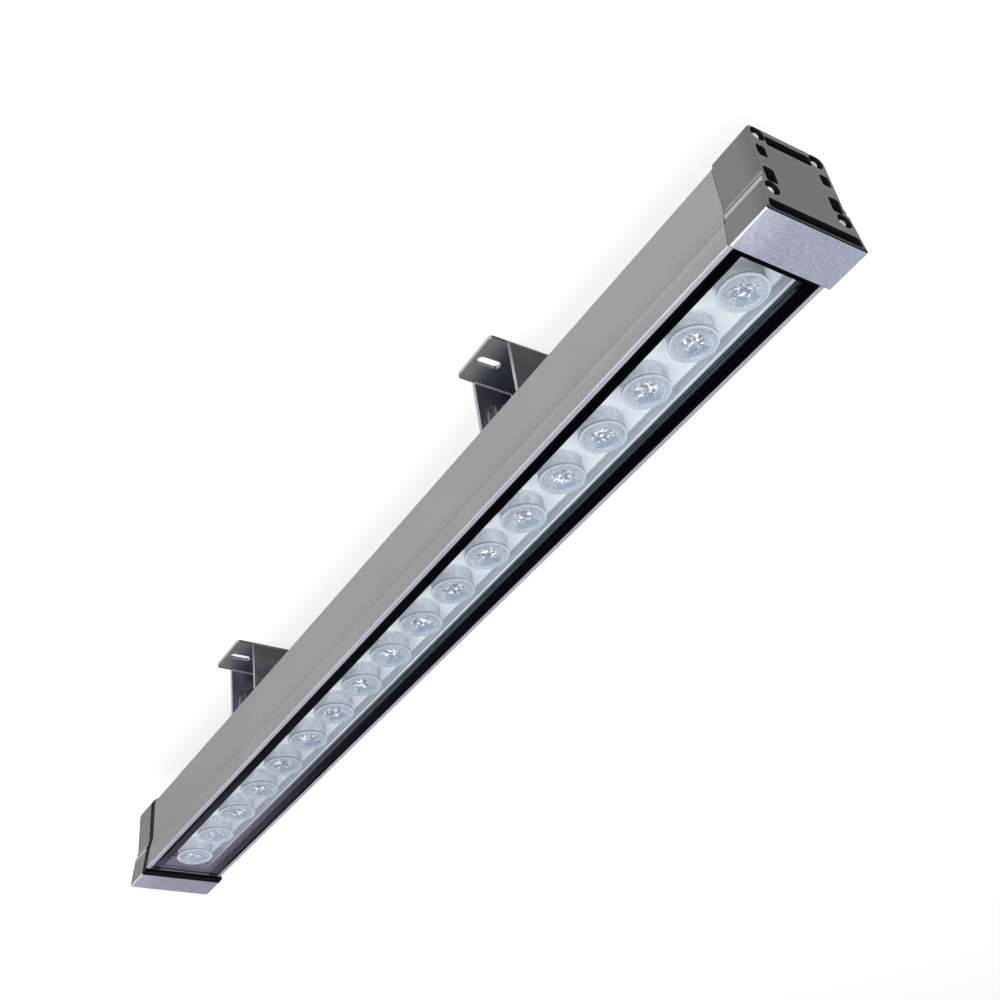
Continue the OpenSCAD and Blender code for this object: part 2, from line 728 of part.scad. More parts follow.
module foot_far() color(polished) at_far_bracket() foot();
module clamp_bolt_far() color(steel) at_far_bracket() clamp_bolt();
module clamp_washer_far() color(steel) at_far_bracket() clamp_washer();
module clamp_nut_far() color(steel) at_far_bracket() clamp_nut();
module tilt_bolts_far() color(steel) at_far_bracket() tilt_bolts();
module tilt_washers_far() color(passivated) at_far_bracket() tilt_washers();
module tilt_nuts_far() color(passivated) at_far_bracket() tilt_nuts();
module yoke_far() color(polished) at_far_bracket() yoke();

housing();
glass();
glass_seal();
light_board();
heat_pad();
emitters();
lens_holders();
lenses();
driver();
board_leads();
cap_near();
cap_far();
gasket_near();
gasket_far();
cap_screws_near();
cap_screws_far();
gland_body();
gland_seal();
gland_nut();
foot_near();
clamp_bolt_near();
clamp_washer_near();
clamp_nut_near();
tilt_bolts_near();
tilt_washers_near();
tilt_nuts_near();
yoke_near();
foot_far();
clamp_bolt_far();
clamp_washer_far();
clamp_nut_far();
tilt_bolts_far();
tilt_washers_far();
tilt_nuts_far();
yoke_far();
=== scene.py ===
import math
import random

import bmesh
import bpy
from mathutils import Matrix, Vector, noise
from mathutils.geometry import tessellate_polygon


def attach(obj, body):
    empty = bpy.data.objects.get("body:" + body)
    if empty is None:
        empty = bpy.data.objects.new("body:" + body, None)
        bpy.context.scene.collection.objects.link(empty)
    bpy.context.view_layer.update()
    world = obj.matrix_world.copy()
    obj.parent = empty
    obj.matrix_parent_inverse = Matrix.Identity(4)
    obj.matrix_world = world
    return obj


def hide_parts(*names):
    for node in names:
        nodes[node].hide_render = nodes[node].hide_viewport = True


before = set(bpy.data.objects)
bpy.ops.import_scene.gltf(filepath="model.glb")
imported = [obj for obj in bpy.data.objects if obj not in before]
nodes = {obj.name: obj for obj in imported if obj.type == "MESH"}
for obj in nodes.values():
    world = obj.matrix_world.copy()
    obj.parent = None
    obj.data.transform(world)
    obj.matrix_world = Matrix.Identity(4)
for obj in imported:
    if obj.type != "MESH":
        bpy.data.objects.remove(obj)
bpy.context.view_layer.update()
MM = 0.001

# Sizes of the solids that the pieces follow, in millimetres. X runs along the light, the window
# faces +Z, and a depth is measured down from the window's face. The groove along the housing is
# drawn GROOVE_LIFT nearer the window than in the solid.
WINDOW_H = 90.5
SHIFT = 8.0
HALF_LEN = 300.0
NEAR_END = SHIFT + HALF_LEN
CAP_LEN = 20.7
CAP_WALL = [(0, 25.3), (15, 22.9), (22, 20.9), (50, 19.8)]
SCREWS = [(15, 44.5), (-15, 44.5), (18, 76.5), (-18, 76.5)]
GROOVE = 18.5
GROOVE_LIFT = 2.6
GROOVE_H = WINDOW_H - GROOVE + GROOVE_LIFT
WALL_SLOPE = 0.286
LENS_PITCH = 30.6
LENS_COUNT = 18
LENS_TOP = WINDOW_H - 7.0
BOARD_TOP = 74.9
RAIL_TOP = WINDOW_H - 10.0
RAIL_Y = 15.7
BED_HALF = 271.0
GLASS_UNDER = WINDOW_H - 5.2
NEAR_X = SHIFT + 116
FAR_X = SHIFT - 164


# ---------------------------------------------------------------- materials
WHITE = (1.0, 1.0, 1.0)
BUMP_DEPTH = 2e-5
RUBBER_GRAIN = 1800

# How a metal's grain is stretched along X, Y and Z
EVEN = (1, 1, 1)
DRAWN = (0.02, 1, 1)
POLISHED = (1, 0.4, 1)


def shade(color, by):
    return tuple(max(0.0, min(1.0, c * by)) for c in color)


class Graph:
    """A node tree, with shorthand for making nodes and linking them."""

    def __init__(self, tree):
        self.tree = tree

    def feed(self, socket, value):
        """Link a socket to a node's output, or set the value that it holds itself."""
        if isinstance(value, bpy.types.NodeSocket):
            self.tree.links.new(value, socket)
        else:
            socket.default_value = (*value, 1) if socket.type == "RGBA" else value

    def node(self, kind, inputs=(), result=0, **settings):
        """The output of a new node, which gets its settings before its inputs."""
        made = self.tree.nodes.new("ShaderNode" + kind)
        for name, value in settings.items():
            setattr(made, name, value)
        for name, value in dict(inputs).items():
            self.feed(made.inputs[name], value)
        return made.outputs[result]

    def gradient(self, value, stops):
        """A colour ramp through stops of (position, colour or grey), in rising order."""
        made = self.tree.nodes.new("ShaderNodeValToRGB")
        elements = made.color_ramp.elements
        for i, (position, tone) in enumerate(stops):
            stop = elements[i] if i < 2 else elements.new(position)
            stop.position = position
            stop.color = (*tone, 1) if isinstance(tone, tuple) else (tone, tone, tone, 1)
        self.feed(made.inputs["Fac"], value)
        return made.outputs["Color"]

    def part_of(self, point, axis):
        return self.node("SeparateXYZ", {"Vector": point}, axis)


class Look(Graph):
    """A material, with shorthand for what feeds its Principled shader."""

    def __init__(self, name, color, metallic, roughness, gloss=0.5):
        self.mat = bpy.data.materials.new(name)
        self.mat.use_nodes = True
        self.mat.diffuse_color = (*color, 1)
        super().__init__(self.mat.node_tree)
        self.bsdf = self.tree.nodes["Principled BSDF"]
        self.set("Base Color", color)
        self.set("Metallic", metallic)
        self.set("Roughness", roughness)
        self.set("Specular IOR Level", gloss)

    def set(self, name, value):
        self.feed(self.bsdf.inputs[name], value)
        return self

    def shine(self, shader):
        """Make a shader the surface in place of the Principled one alone."""
        self.feed(self.tree.nodes["Material Output"].inputs["Surface"], shader)

    def own(self, axis):
        """A point's own coordinate along one axis of the part, in metres."""
        return self.part_of(self.node("TexCoord", result="Object"), axis)

    def at(self, axis):
        """A point's own coordinate along one axis of the part, in millimetres."""
        return self.calc("DIVIDE", self.own(axis), MM)

    def off(self, axis, middle=0.0):
        """How far a point lies from a middle along one axis, in millimetres."""
        return self.calc("ABSOLUTE", self.calc("SUBTRACT", self.at(axis), middle))

    def grain(self, scale, stretch=EVEN, detail=3.0, offset=(0, 0, 0), rough=0.5):
        point = self.node("TexCoord", result="Object")
        point = self.node("Mapping", {"Vector": point, "Scale": stretch, "Location": offset})
        return self.node("TexNoise", {"Vector": point, "Scale": scale, "Detail": detail,
                                      "Roughness": rough}, "Fac")

    def ramp(self, value, low, high, at=(0.35, 0.65)):
        return self.gradient(value, zip(at, (low, high)))

    def calc(self, operation, a, b=None):
        inputs = {0: a} if b is None else {0: a, 1: b}
        return self.node("Math", inputs, operation=operation)

    def product(self, first, *others):
        for other in others:
            first = self.calc("MULTIPLY", first, other)
        return first

    def rise(self, value, start, stop):
        """0 at start, 1 at stop, and held beyond them."""
        return self.node("MapRange", {"Value": value, "From Min": start, "From Max": stop},
                         "Result", interpolation_type="SMOOTHSTEP")

    def mix(self, factor, low, high):
        return self.node("Mix", {"Factor": factor, "A": low, "B": high}, "Result",
                         data_type="RGBA")

    def multiply(self, one, other):
        return self.node("Mix", {"Factor": 1.0, "A": one, "B": other}, "Result",
                         data_type="RGBA", blend_type="MULTIPLY")

    def color(self):
        """What feeds the base colour so far."""
        return self.bsdf.inputs["Base Color"].links[0].from_socket

    def tinted(self, tone):
        return self.set("Base Color", self.multiply(self.color(), tone))

    def toned(self, axis, start, stop, low, high):
        """Multiply the colour by a tone that changes from low to high along one axis."""
        return self.tinted(self.mix(self.rise(self.at(axis), start, stop), low, high))

    def bump(self, height, strength):
        normal = self.node("Bump", {"Height": height, "Strength": strength,
                                    "Distance": BUMP_DEPTH}, "Normal")
        return self.set("Normal", normal)


def worked_metal(name, color, metallic, roughness, stretch, scale, spread, bumpy, gloss=0.5):
    """Metal with a fine grain, stretched the way it was worked, and broad faint clouds."""
    look = Look(name, color, metallic, roughness, gloss)
    streaks = look.grain(scale, stretch, detail=4)
    clouds = look.ramp(look.grain(22, offset=(0.3, 0.1, 0.7)), 0.93, 1.0)
    tint = look.ramp(streaks, shade(color, 1 - spread), shade(color, 1 + spread))
    look.set("Base Color", look.multiply(tint, clouds))
    look.set("Roughness", look.ramp(streaks, roughness - 0.06, roughness + 0.06))
    return look.bump(streaks, bumpy) if bumpy else look


def rubber(name, color, roughness, gloss=0.5):
    look = Look(name, color, 0, roughness, gloss)
    grain = look.grain(RUBBER_GRAIN, detail=2)
    look.set("Base Color", look.ramp(grain, shade(color, 0.7), shade(color, 1.4)))
    look.set("Roughness", look.ramp(grain, roughness - 0.08, roughness + 0.08))
    return look.bump(grain, 0.2)


def moulded(name, low, high, roughness, scale, coat=0.0):
    look = Look(name, high, 0, roughness)
    clouds = look.grain(scale)
    look.set("Base Color", look.ramp(clouds, low, high))
    look.set("Roughness", look.ramp(clouds, roughness - 0.05, roughness + 0.08))
    return look.set("Coat Weight", coat).bump(clouds, 0.05)


def clear(name, color, ior, roughness, scale, strength, clarity, spread):
    """Glass or clear plastic; scale, strength and spread are those of the waves in it."""
    look = Look(name, color, 0, roughness)
    look.set("Transmission Weight", clarity).set("IOR", ior)
    wave = look.grain(scale, detail=2)
    look.set("Base Color", look.ramp(wave, shade(color, 1 - spread), color)).bump(wave, strength)
    passing = look.node("BsdfTransparent", {"Color": color})
    shadow = look.node("LightPath", result="Is Shadow Ray")
    look.shine(look.node("MixShader", {"Fac": shadow, 1: look.bsdf.outputs["BSDF"], 2: passing}))
    return look


def side_look():
    """Anodised wall: painted shade at the far end and round the groove, a painted sheen beside it.
    """
    look = worked_metal("anodised_side", (0.352, 0.36, 0.355), 0.12, 0.5, DRAWN, 900,
                        0.02, 0.04, 0.25)
    # Painted shade: darker towards the far end
    look.toned("X", -290, -80, (0.92, 0.90, 0.91), WHITE)
    height = look.at("Z")
    # A painted shade round the groove, and a painted sheen beside it towards the near end
    painted_groove_shade = look.product(look.rise(height, GROOVE_H - 1.4, GROOVE_H - 0.2),
                       look.rise(height, GROOVE_H + 1.6, GROOVE_H + 0.4))
    painted_sheen = look.product(look.rise(height, GROOVE_H + 1.2, GROOVE_H + 2.8),
                         look.rise(height, GROOVE_H + 7.4, GROOVE_H + 3.4),
                         look.rise(look.at("X"), 60, 240))
    tone = look.mix(painted_groove_shade, WHITE, (0.88, 0.88, 0.90))
    return look.tinted(look.mix(painted_sheen, tone, (1.10, 1.12, 1.13)))


def seal_look(black, slate, lavender_grey):
    """The bed under the glass: black, paler where it faces the rail and the far end's board."""
    look = Look("black_bed", black, metallic=0, roughness=0.4, gloss=0.05)
    dark = look.ramp(look.grain(RUBBER_GRAIN, detail=2), shade(black, 0.7), shade(black, 1.4))
    across, along = look.at("Y"), look.at("X")
    dulled = look.mix(look.rise(along, -248, -262), dark, shade(slate, 0.5))
    pale = look.product(look.rise(across, -RAIL_Y - 1.0, -RAIL_Y - 0.6),
                        look.rise(across, 1.0, -1.0),
                        look.rise(look.off("X", SHIFT), BED_HALF + 1, BED_HALF - 1))
    far = look.product(look.rise(along, SHIFT - BED_HALF + 0.5, SHIFT - BED_HALF - 0.5),
                       look.rise(look.off("Y"), RAIL_Y + 0.7, RAIL_Y - 0.3))
    return look.set("Base Color", look.mix(far, look.mix(pale, dulled, slate), lavender_grey))


def far_gasket_look(black, lavender_grey):
    """Black rubber, paler where it lies under the glass."""
    look = rubber("black_rubber_far", black, 0.5, 0.06)
    under = look.product(look.rise(look.at("Z"), GLASS_UNDER + 0.2, GLASS_UNDER - 0.2),
                         look.rise(look.off("Y"), 19.5, 18.5))
    return look.set("Base Color", look.mix(under, look.color(), lavender_grey))


def channel_look(color, lines):
    """Metal with lines that run along the light, each (height, half width, tone), and painted
    shade at the far end.
    """
    look = Look("rail_wall", color, metallic=0.3, roughness=0.45)
    wall = RAIL_TOP - BOARD_TOP
    height = look.node("MapRange", {"Value": look.own("Z"), "From Min": BOARD_TOP * MM,
                                    "From Max": RAIL_TOP * MM}, "Result")
    stops = [(0.0, color)]
    for middle, half, tone in lines:
        at, wide = (middle - BOARD_TOP) / wall, half / wall
        stops += [(at - wide, color), (at, shade(color, tone)), (at + wide, color)]
    grain = look.ramp(look.grain(700, DRAWN), 0.9, 1.0)
    look.set("Base Color", look.multiply(look.gradient(height, stops), grain))
    # Painted shade: darker and more lavender towards the far end
    return look.toned("X", -275, -120, (0.74, 0.72, 0.80), WHITE)


def rail_look():
    """The rail's top: a painted highlight on the edge beside the channel, then dark slate for
    painted shade.
    """
    look = worked_metal("rail_top", (0.10, 0.115, 0.15), 0.2, 0.5, DRAWN, 700, 0.08, 0.08)
    away = look.rise(look.off("Y"), RAIL_Y + 0.75, RAIL_Y + 1.15)
    # Painted highlight on the edge, dimmer towards the far end
    rail_edge_highlight = look.mix(look.rise(look.at("X"), -250, -60), (0.30, 0.29, 0.34), (0.86, 0.87, 0.86))
    return look.set("Base Color", look.mix(away, rail_edge_highlight, look.color()))


def lens_look():
    """Clear plastic with a grey rim, painted glints in its bowl and painted shade: a blue crescent
    and a ring.
    """
    clarity = 0.66
    look = clear("lens_clear", (0.64, 0.67, 0.70), ior=1.49, roughness=0.03, scale=500,
                 strength=0.2, clarity=clarity, spread=0.05)
    first = SHIFT - LENS_COUNT / 2 * LENS_PITCH
    along = look.calc("DIVIDE", look.calc("SUBTRACT", look.at("X"), first), LENS_PITCH)
    along = look.product(look.calc("SUBTRACT", look.calc("FRACT", along), 0.5), LENS_PITCH)
    across = look.at("Y")
    radius = look.calc("ADD", look.product(along, along), look.product(across, across))
    radius = look.calc("SQRT", radius)

    # How much of each tone shows at a point, by its distance from the lens's axis
    # The outline, a dark ring on one side, and the blue crescent are painted shade
    outline = look.product(look.rise(radius, 8.1, 8.6), look.rise(radius, 9.3, 8.8),
                           look.rise(across, 4.0, -3.0), 0.30)
    rim = look.rise(radius, 9.2, 9.9)
    pebbled = look.product(look.rise(radius, 9.0, 8.0), 0.7)
    middle = look.rise(radius, 6.2, 3.2)
    aim = look.calc("ADD", look.product(along, -0.57), look.product(across, -0.82))
    painted_crescent_shade = look.product(look.rise(look.calc("DIVIDE", aim, radius), 0.45, 0.9),
                            look.rise(radius, 3.8, 5.2), look.rise(radius, 8.4, 7.2), 0.62)

    grey = look.mix(look.rise(look.at("X"), -120, -220), (0.47, 0.51, 0.55), (0.58, 0.60, 0.65))
    # The pebbled ring's speckle and the middle's bright spots are painted glints
    speckled_glints = look.ramp(look.grain(800, rough=0.65), (0.38, 0.42, 0.47), (0.88, 0.89, 0.90),
                        (0.36, 0.64))
    glint_noise = look.grain(640, detail=2, offset=(0.13, 0.71, 0.37))
    painted_glints = look.ramp(glint_noise, (0.26, 0.29, 0.34), (0.96, 0.96, 0.94), (0.41, 0.62))
    color = look.mix(outline, look.color(), (0.25, 0.28, 0.33))
    color = look.mix(rim, color, grey)
    color = look.mix(pebbled, color, speckled_glints)
    color = look.mix(middle, color, painted_glints)
    look.set("Base Color", look.mix(painted_crescent_shade, color, (0.27, 0.36, 0.48)))

    # The painted glints' brightest spots and the rim let less light through
    white = look.product(look.rise(glint_noise, 0.55, 0.62), middle, 0.3)
    milky = look.calc("ADD", white, look.product(rim, 0.30))
    return look.set("Transmission Weight", look.calc("SUBTRACT", clarity, milky))


# Metals: colour, metallic, roughness, stretch and scale of the grain, spread of its tint, height
# of its bumps and gloss
ANODISED = side_look()
# The groove's up-facing faces: a painted bluish highlight near the near end, dark for painted
# shade further off
GROOVED = worked_metal("anodised_groove", (0.48, 0.53, 0.62), 0.3, 0.4, DRAWN, 900, 0.04, 0)
GROOVED.toned("X", 20, 250, (0.28, 0.27, 0.29), WHITE)
# The lips' up-facing faces and the rails' edges: lighter and more lavender than the wall, a
# painted highlight
LIP = worked_metal("painted_lip_highlight", (0.64, 0.66, 0.73), 0.45, 0.34, DRAWN, 900, 0.04, 0.08)
# The last line, twice as bright, is a painted highlight along the rail's top edge
CHANNEL = channel_look((0.45, 0.47, 0.50),
                       [(76.4, 0.4, 0.78), (79.2, 0.35, 0.72), (80.05, 0.42, 2.0)])
RAIL = rail_look()

CAST = worked_metal("cast_cap", (0.178, 0.18, 0.174), 0.2, 0.45, EVEN, 700, 0.06, 0.10, 0.3)
# Painted shade: the near cap darkens over its last 9 mm towards its end
CAST.toned("X", NEAR_END - 9, NEAR_END, WHITE, (0.72, 0.72, 0.72))
# The end face: a darker copy of the cast metal for painted shade, nearly black along the window's
# edge for a painted shadow
PANEL = worked_metal("cast_panel", (0.145, 0.147, 0.142), 0.2, 0.45, EVEN, 700, 0.06, 0.10, 0.15)
PANEL.toned("Z", WINDOW_H - 2.5, WINDOW_H - 1.8, WHITE, (0.05, 0.05, 0.08))
# The window face: brushed, and lighter and more lavender than the sides, partly its finish and
# partly painted light
BRUSHED = worked_metal("brushed_cap", (0.43, 0.45, 0.54), 0.25, 0.38, (1, 0.35, 1), 1500,
                       0.13, 0.1, 0.3)
# Painted highlight towards the +Y edge and painted shade towards the far end
BRUSHED.toned("Y", 8, 25, WHITE, (1.3, 1.3, 1.22))
BRUSHED.toned("X", -250, 250, (0.87, 0.84, 0.84), (0.98, 0.98, 0.99))
# The bead and the ridge: lighter than the cast sides, painted highlights
BEADED = worked_metal("cast_bead", (0.42, 0.43, 0.42), 0.3, 0.35, EVEN, 700, 0.05, 0.05)
RIDGE = worked_metal("cast_ridge", (0.27, 0.275, 0.27), 0.3, 0.35, EVEN, 700, 0.05, 0.05)
# The rounded edges of the window face: a painted highlight
SHINE = worked_metal("painted_corner_highlight", (0.86, 0.86, 0.90), 0.3, 0.35, EVEN, 700, 0.06, 0.05)
# Pockets and screw wells: near black, painted shade
HOLLOW = worked_metal("cast_hollow", (0.006, 0.006, 0.007), 0.0, 0.7, EVEN, 700, 0.1, 0.1, 0.1)

SHEET = worked_metal("polished_sheet", (0.062, 0.062, 0.064), 0.7, 0.22, POLISHED, 60, 0.35, 0)
# Painted light: bluer higher up the legs, warmer low down, and the far bracket lighter than the
# near one
SHEET.toned("Z", 22, 6, (0.84, 0.86, 1.0), (1.0, 0.98, 0.93))
SHEET.toned("X", FAR_X, NEAR_X, (1.36, 1.36, 1.36), (0.66, 0.66, 0.66))
# The web's up-facing faces: a lighter copy of the sheet, painted light, dark and bluish towards -Y
# for a painted reflection
WEB = worked_metal("sheet_web", (0.28, 0.30, 0.295), 0.45, 0.26, POLISHED, 60, 0.06, 0)
WEB.toned("Y", 4, 18, (0.34, 0.36, 0.46), WHITE)
# The legs' inner faces: a lighter, mottled lavender copy of the sheet, painted reflection, darker
# on the near bracket for painted shade
INNER = worked_metal("sheet_inner", (0.20, 0.205, 0.27), 0.6, 0.25, (1, 1, 0.6), 45, 0.45, 0)
INNER.toned("X", FAR_X, NEAR_X, (1.05, 1.05, 1.05), (0.78, 0.78, 0.78))
# Cut edges and bends: a painted highlight
EDGE = worked_metal("painted_sheet_edge_highlight", (0.44, 0.44, 0.48), 0.5, 0.4, (1, 1, 0.1), 900, 0.12, 0.1)

BRIGHT = worked_metal("bright_steel", (0.55, 0.55, 0.56), 1.0, 0.2, EVEN, 900, 0.05, 0.05)
OLIVE = worked_metal("passivated_steel", (0.26, 0.25, 0.17), 1.0, 0.30, EVEN, 700, 0.15, 0.08)
NICKEL = worked_metal("nickel", (0.34, 0.34, 0.33), 1.0, 0.30, EVEN, 700, 0.06, 0.06)
CASE = worked_metal("driver_case", (0.6, 0.6, 0.61), 0.8, 0.4, (0.05, 1, 1), 500, 0.08, 0.08)

# Rubbers and sealants: colour, roughness and gloss
RUBBER = rubber("black_rubber", (0.003, 0.003, 0.004), 0.5, 0.06)
FAR_GASKET = far_gasket_look((0.003, 0.003, 0.004), (0.26, 0.235, 0.33))
SEAM = rubber("grey_seam", (0.26, 0.265, 0.26), 0.6, 0.2)
BEAD = rubber("black_bead", (0.001, 0.001, 0.002), 0.4, 0.05)
BED = seal_look((0.001, 0.001, 0.002), (0.07, 0.08, 0.10), (0.17, 0.155, 0.215))
PAD = rubber("grey_pad", (0.25, 0.29, 0.33), 0.8)

GLASS = clear("window_glass", (0.97, 0.985, 0.985), ior=1.45, roughness=0.0, scale=60,
              strength=0.01, clarity=1.0, spread=0.015)
HOLDER = clear("holder_frost", (0.84, 0.87, 0.91), ior=1.1, roughness=0.3, scale=420,
               strength=0.6, clarity=0.3, spread=0.22)
LENS = lens_look()

# Moulded and painted: two colours, roughness, scale of the clouds and clear coat
BOARD = moulded("board_white", (0.58, 0.61, 0.63), (0.64, 0.67, 0.69), 0.42, 160, 0.1)
BASE = moulded("emitter_white", (0.84, 0.82, 0.74), (0.92, 0.90, 0.82), 0.4, 900)
LEAD = moulded("lead_red", (0.45, 0.02, 0.015), (0.6, 0.03, 0.02), 0.35, 500)

CAP_LOOKS = (CAST, HOLLOW, BRUSHED, BEADED, PANEL, SHINE, RIDGE, RUBBER)
HOUSING_LOOKS = (ANODISED, LIP, CHANNEL, RAIL, GROOVED)
SHEET_LOOKS = (SHEET, EDGE, WEB, INNER)


# ----------------------------------------------------------------- geometry
WELD = 1e-6
SHORTEST = 1e-9
OPPOSED = 1e-6
SHARPEST = 0.3


def half_at(depth):
    """Half the end cap's width at a depth."""
    (a, p), (b, q) = next(pair for pair in zip(CAP_WALL, CAP_WALL[1:]) if depth <= pair[1][0])
    return p + (q - p) * (depth - a) / (b - a)


def circle(radius, count):
    turns = (2 * math.pi * i / count for i in range(count))
    return [(radius * math.cos(t), radius * math.sin(t)) for t in turns]


def rounded(points, radii, steps):
    """A counter-clockwise loop with an arc of its own radius at each corner."""
    out = []
    n = len(points)
    for i, r in enumerate(radii):
        before, corner, after = (Vector(points[j % n]) for j in (i - 1, i, i + 1))
        a, b = (before - corner).normalized(), (after - corner).normalized()
        half = math.acos(max(-1, min(1, a.dot(b)))) / 2
        centre = corner + (a + b).normalized() * r / math.sin(half)
        first = corner + a * r / math.tan(half) - centre
        last = corner + b * r / math.tan(half) - centre
        start, end = math.atan2(first.y, first.x), math.atan2(last.y, last.x)
        turn = (end - start + math.pi) % (2 * math.pi) - math.pi
        for k in range(steps + 1):
            t = start + turn * k / steps
            out.append(centre + Vector((math.cos(t), math.sin(t))) * r)
    area = sum(a.x * b.y - b.x * a.y for a, b in zip(out, out[1:] + out[:1]))
    return out if area > 0 else out[::-1]


def drawn_in(loop, d):
    """A counter-clockwise loop moved inwards by d."""
    out = []
    for i, here in enumerate(loop):
        a, b = here - loop[i - 1], loop[(i + 1) % len(loop)] - here
        if a.length < SHORTEST:
            a = b
        if b.length < SHORTEST:
            b = a
        na, nb = Vector((-a.y, a.x)).normalized(), Vector((-b.y, b.x)).normalized()
        m = na + nb
        m = m / max(m.length_squared / 2, SHARPEST) if m.length > OPPOSED else na
        out.append(here + m * d)
    return out


def bridge(bm, a, b):
    """Faces between two rings, of which one may be a single point."""
    count = max(len(a), len(b))
    for i in range(count):
        j = (i + 1) % count
        if len(a) == 1:
            bm.faces.new((a[0], b[i], b[j]))
        elif len(b) == 1:
            bm.faces.new((a[i], b[0], a[j]))
        else:
            bm.faces.new((a[i], b[i], b[j], a[j]))


def edge_round(radius, steps):
    """Insets and depths of a rounded edge, from the face down to the wall."""
    turns = (math.pi / 2 * (1 - i / steps) for i in range(steps + 1))
    return [(radius * (1 - math.cos(t)), radius * (1 - math.sin(t))) for t in turns]


def finished(bm, name, body, looks, replaced=(), angle=40):
    """Make a mesh a piece of the scene that rides on a body; faces meet smoothly below angle."""
    mesh = bpy.data.meshes.new(name)
    bm.to_mesh(mesh)
    bm.free()
    for look in looks:
        mesh.materials.append(look.mat)
    mesh.shade_smooth()
    mesh.set_sharp_from_angle(angle=math.radians(angle))
    piece = bpy.data.objects.new(name, mesh)
    bpy.context.scene.collection.objects.link(piece)
    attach(piece, body)
    if replaced:
        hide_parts(*replaced)
    weighted = piece.modifiers.new("weighted", "WEIGHTED_NORMAL")
    weighted.keep_sharp = True
    weighted.weight = 80
    return piece


# ----------------------------------------------------------------- end caps
# Depths in a cap's end face are measured along X. A foot and the back are lists of (inset, depth).
FACE_ROUND = 0.55
POCKET = 7.0
POCKET_CORNER = 1
POCKET_ROUND = 0.35
POCKET_FOOT = [(0.0, POCKET - 0.5), (0.15, POCKET - 0.15), (0.5, POCKET)]
WELL = 2.6
WELL_R = 3.3
WELL_AROUND = 40
WELL_ROUND = 0.3
WELL_FOOT = [(0.0, WELL - 0.25), (0.25, WELL), (1.9, WELL)]
SEALED = 1.7
CAP_BACK = [(0.0, CAP_LEN - SEALED), (0.0, CAP_LEN - 0.25), (0.1, CAP_LEN - 0.07), (0.3, CAP_LEN)]
TOP_EDGE = 0.9
# Depths of the bead and the ridge on the cap's sides, which get painted highlights
BEAD_DEPTHS = (15.8, 18.75)
RIDGE_DEPTHS = (19.9, 22)

# One side of the cap's outline, from the window's face to the back: depth, how far it is sunk
# into the wall and corner radius. The bead comes first, then the groove and the ridge.
CAP_SIDE = [(0, 0, 0.8), (15, 0, 0.8), (16.0, 0, 0.3), (16.5, -0.35, 0.3), (18.3, -0.35, 0.3),
            (18.8, 0.45, 0.15), (19.8, 0.45, 0.15), (20.2, -0.2, 0.2), (21.4, -0.2, 0.2),
            (21.8, 0, 0.15), (22.4, 0, 0.2), (50, 0, 3.5)]

# The straight pockets: middle across, depth of the middle, width and height
POCKETS = [(0, 44.2, 22.6, 4.8), (-16.2, 35.6, 4.2, 5.6), (-16.4, 21.8, 5, 7.6),
           (16.2, 35.6, 4.2, 5.6), (16.4, 21.8, 5, 7.6)]

# The pocket beside the window follows the flare, at a distance from the wall
FLARED = (1.9, 6.4)
FLARED_WALL = 2


def cap_outline():
    right = [Vector((half_at(depth) - sink, WINDOW_H - depth)) for depth, sink, _ in CAP_SIDE]
    left = [Vector((-p.x, p.y)) for p in reversed(right)]
    radii = [radius for _, _, radius in CAP_SIDE]
    return rounded(right + left, radii + radii[::-1], steps=5)


def pocket_loops():
    corners = []
    for across, depth, width, height in POCKETS:
        z, w, h = WINDOW_H - depth, width / 2, height / 2
        corners.append([(across + w, z + h), (across - w, z + h),
                        (across - w, z - h), (across + w, z - h)])
    top, low = (half_at(depth) - FLARED_WALL for depth in FLARED)
    z_top, z_low = (WINDOW_H - depth for depth in FLARED)
    corners.append([(top, z_top), (-top, z_top), (-low, z_low), (low, z_low)])
    return [rounded(points, [POCKET_CORNER] * 4, steps=6) for points in corners]


class Cap:
    """A cap's faces in millimetres, made from loops that lie across X at a depth from its end."""

    def __init__(self, side):
        self.bm = bmesh.new()
        self.side = side
        self.look = CAST

    def face(self, verts):
        self.bm.faces.new(verts).material_index = CAP_LOOKS.index(self.look)

    def wall(self, loop, levels):
        """The rings of a loop drawn in by levels of (inset, depth), skinned one to the next."""
        end = SHIFT + self.side * HALF_LEN
        rings = []
        for inset, depth in levels:
            flat = drawn_in(loop, inset)
            x = (end - self.side * depth) * MM
            rings.append(([self.bm.verts.new((x, p.x * MM, p.y * MM)) for p in flat], flat))
        for (a, _), (b, _) in zip(rings, rings[1:]):
            for i in range(len(a)):
                j = (i + 1) % len(a)
                self.face((a[i], a[j], b[j], b[i]))
        return rings

    def fill(self, rings):
        """Close a flat area, of which the rings after the first are holes."""
        verts = [v for ring, _ in rings for v in ring]
        for corners in tessellate_polygon([[p.to_3d() for p in flat] for _, flat in rings]):
            try:
                self.face([verts[i] for i in corners])
            except ValueError:
                pass


def cap_finish(face, sealed):
    """The look of a face of a cap's outer skin: painted highlights on edges, bead and ridge, shade
    on the end.
    """
    middle = face.calc_center_median() / MM
    depth = WINDOW_H - middle.z
    if sealed and HALF_LEN - abs(middle.x - SHIFT) > CAP_LEN - SEALED:
        return RUBBER
    if abs(face.normal.z) > 0.96 and depth < 1:
        return BRUSHED
    if depth < TOP_EDGE and abs(face.normal.x) > 0.2:
        return PANEL
    if depth < TOP_EDGE and abs(face.normal.z) > 0.15:
        return SHINE
    if BEAD_DEPTHS[0] < depth < BEAD_DEPTHS[1]:
        return BEADED
    if RIDGE_DEPTHS[0] < depth < RIDGE_DEPTHS[1]:
        return RIDGE
    return CAST


